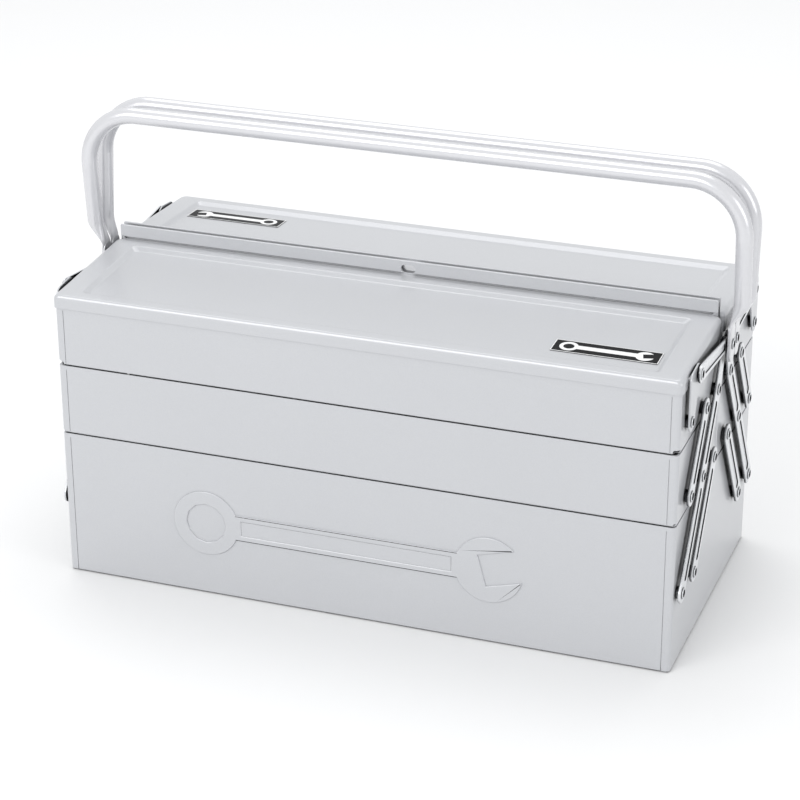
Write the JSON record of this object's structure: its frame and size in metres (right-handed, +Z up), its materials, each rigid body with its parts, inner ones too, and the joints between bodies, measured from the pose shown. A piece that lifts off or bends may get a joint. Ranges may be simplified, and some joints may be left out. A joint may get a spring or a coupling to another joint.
{
  "type": "cantilever toolbox",
  "caption": "Sheet-steel cantilever toolbox: a deep base, two rows of trays on lever arms, tipping lids and two tubular bail handles that open the front and rear halves.",
  "frame": {"origin": "middle of the base's underside, on the surface it stands on", "axes": "+X along the length, towards the right end; -Y towards the front; +Z up"},
  "size_m": [0.5142, 0.2274, 0.34],
  "materials": {
    "body_paint": "glossy silver-grey enamel",
    "handle_paint": "bright silver enamel on steel tube",
    "arm_paint": "silver enamel on pressed steel strip",
    "rivet_steel": "plated steel",
    "label_black": "black plate with a fine light border"
  },
  "bodies": {
    "base": {"base_box": "body_paint", "front_left_base_arm_rivet": "rivet_steel", "front_left_base_link_rivet": "rivet_steel", "front_right_base_arm_rivet": "rivet_steel", "front_right_base_link_rivet": "rivet_steel", "rear_left_base_arm_rivet": "rivet_steel", "rear_left_base_link_rivet": "rivet_steel", "rear_right_base_arm_rivet": "rivet_steel", "rear_right_base_link_rivet": "rivet_steel"},
    "front_arms": {"front_left_long_arm": "arm_paint", "front_right_long_arm": "arm_paint"},
    "front_lower_links": {"front_left_lower_link": "arm_paint", "front_right_lower_link": "arm_paint"},
    "front_upper_links": {"front_left_upper_link": "arm_paint", "front_right_upper_link": "arm_paint"},
    "front_middle_tray": {"front_middle_tray": "body_paint", "front_left_middle_arm_rivet": "rivet_steel", "front_left_middle_lower_rivet": "rivet_steel", "front_left_middle_upper_rivet": "rivet_steel", "front_right_middle_arm_rivet": "rivet_steel", "front_right_middle_lower_rivet": "rivet_steel", "front_right_middle_upper_rivet": "rivet_steel"},
    "front_top_tray": {"front_top_tray": "body_paint", "front_left_top_arm_rivet": "rivet_steel", "front_left_top_link_rivet": "rivet_steel", "front_right_top_arm_rivet": "rivet_steel", "front_right_top_link_rivet": "rivet_steel"},
    "front_handle": {"front_handle": "handle_paint", "front_left_lid_link": "arm_paint", "front_left_crank_pin": "rivet_steel", "front_right_lid_link": "arm_paint", "front_right_crank_pin": "rivet_steel"},
    "front_lid": {"front_lid": "body_paint", "front_label": "label_black"},
    "rear_arms": {"rear_left_long_arm": "arm_paint", "rear_right_long_arm": "arm_paint"},
    "rear_lower_links": {"rear_left_lower_link": "arm_paint", "rear_right_lower_link": "arm_paint"},
    "rear_upper_links": {"rear_left_upper_link": "arm_paint", "rear_right_upper_link": "arm_paint"},
    "rear_middle_tray": {"rear_middle_tray": "body_paint", "rear_left_middle_arm_rivet": "rivet_steel", "rear_left_middle_lower_rivet": "rivet_steel", "rear_left_middle_upper_rivet": "rivet_steel", "rear_right_middle_arm_rivet": "rivet_steel", "rear_right_middle_lower_rivet": "rivet_steel", "rear_right_middle_upper_rivet": "rivet_steel"},
    "rear_top_tray": {"rear_top_tray": "body_paint", "rear_left_top_arm_rivet": "rivet_steel", "rear_left_top_link_rivet": "rivet_steel", "rear_right_top_arm_rivet": "rivet_steel", "rear_right_top_link_rivet": "rivet_steel"},
    "rear_handle": {"rear_handle": "handle_paint", "rear_left_lid_link": "arm_paint", "rear_left_crank_pin": "rivet_steel", "rear_right_lid_link": "arm_paint", "rear_right_crank_pin": "rivet_steel"},
    "rear_lid": {"rear_lid": "body_paint", "rear_label": "label_black"}
  },
  "joints": [
    {"name": "front_fan", "type": "hinge", "parent": "base", "child": "front_arms", "pos_m": [0, -0.1015, 0.06], "axis": [1, 0, 0], "range_deg": [0, 68.5]},
    {"name": "front_lower_links_turn", "type": "hinge", "parent": "base", "child": "front_lower_links", "pos_m": [0, -0.068, 0.06], "axis": [1, 0, 0], "range_deg": [0, 68.5]},
    {"name": "front_middle_tray_level", "type": "hinge", "parent": "front_arms", "child": "front_middle_tray", "pos_m": [0, -0.05404, 0.12931], "axis": [1, 0, 0], "range_deg": [-68.5, 0]},
    {"name": "front_upper_links_turn", "type": "hinge", "parent": "front_middle_tray", "child": "front_upper_links", "pos_m": [0, -0.08804, 0.12931], "axis": [1, 0, 0], "range_deg": [0, 68.5]},
    {"name": "front_top_tray_level", "type": "hinge", "parent": "front_arms", "child": "front_top_tray", "pos_m": [0, -0.01845, 0.18129], "axis": [1, 0, 0], "range_deg": [-68.5, 0]},
    {"name": "front_handle_level", "type": "hinge", "parent": "front_arms", "child": "front_handle", "pos_m": [0, -0.0062, 0.2123], "axis": [1, 0, 0], "range_deg": [-68.5, 0]},
    {"name": "front_lid_open", "type": "hinge", "parent": "front_top_tray", "child": "front_lid", "pos_m": [0, -0.0945, 0.189], "axis": [1, 0, 0], "range_deg": [0, 68.5]},
    {"name": "rear_fan", "type": "hinge", "parent": "base", "child": "rear_arms", "pos_m": [0, 0.1015, 0.06], "axis": [-1, 0, 0], "range_deg": [0, 68.5]},
    {"name": "rear_lower_links_turn", "type": "hinge", "parent": "base", "child": "rear_lower_links", "pos_m": [0, 0.068, 0.06], "axis": [-1, 0, 0], "range_deg": [0, 68.5]},
    {"name": "rear_middle_tray_level", "type": "hinge", "parent": "rear_arms", "child": "rear_middle_tray", "pos_m": [0, 0.05404, 0.12931], "axis": [-1, 0, 0], "range_deg": [-68.5, 0]},
    {"name": "rear_upper_links_turn", "type": "hinge", "parent": "rear_middle_tray", "child": "rear_upper_links", "pos_m": [0, 0.08804, 0.12931], "axis": [-1, 0, 0], "range_deg": [0, 68.5]},
    {"name": "rear_top_tray_level", "type": "hinge", "parent": "rear_arms", "child": "rear_top_tray", "pos_m": [0, 0.01845, 0.18129], "axis": [-1, 0, 0], "range_deg": [-68.5, 0]},
    {"name": "rear_handle_level", "type": "hinge", "parent": "rear_arms", "child": "rear_handle", "pos_m": [0, 0.0062, 0.2123], "axis": [-1, 0, 0], "range_deg": [-68.5, 0]},
    {"name": "rear_lid_open", "type": "hinge", "parent": "rear_top_tray", "child": "rear_lid", "pos_m": [0, 0.0945, 0.189], "axis": [-1, 0, 0], "range_deg": [0, 68.5]}
  ],
  "couplings": [
    {"joint": "front_lower_links_turn", "follows": "front_fan", "ratio": 1},
    {"joint": "front_middle_tray_level", "follows": "front_fan", "ratio": -1},
    {"joint": "front_upper_links_turn", "follows": "front_fan", "ratio": 1},
    {"joint": "front_top_tray_level", "follows": "front_fan", "ratio": -1},
    {"joint": "front_handle_level", "follows": "front_fan", "ratio": -1},
    {"joint": "front_lid_open", "follows": "front_fan", "ratio": 1},
    {"joint": "rear_lower_links_turn", "follows": "rear_fan", "ratio": 1},
    {"joint": "rear_middle_tray_level", "follows": "rear_fan", "ratio": -1},
    {"joint": "rear_upper_links_turn", "follows": "rear_fan", "ratio": 1},
    {"joint": "rear_top_tray_level", "follows": "rear_fan", "ratio": -1},
    {"joint": "rear_handle_level", "follows": "rear_fan", "ratio": -1},
    {"joint": "rear_lid_open", "follows": "rear_fan", "ratio": 1}
  ]
}
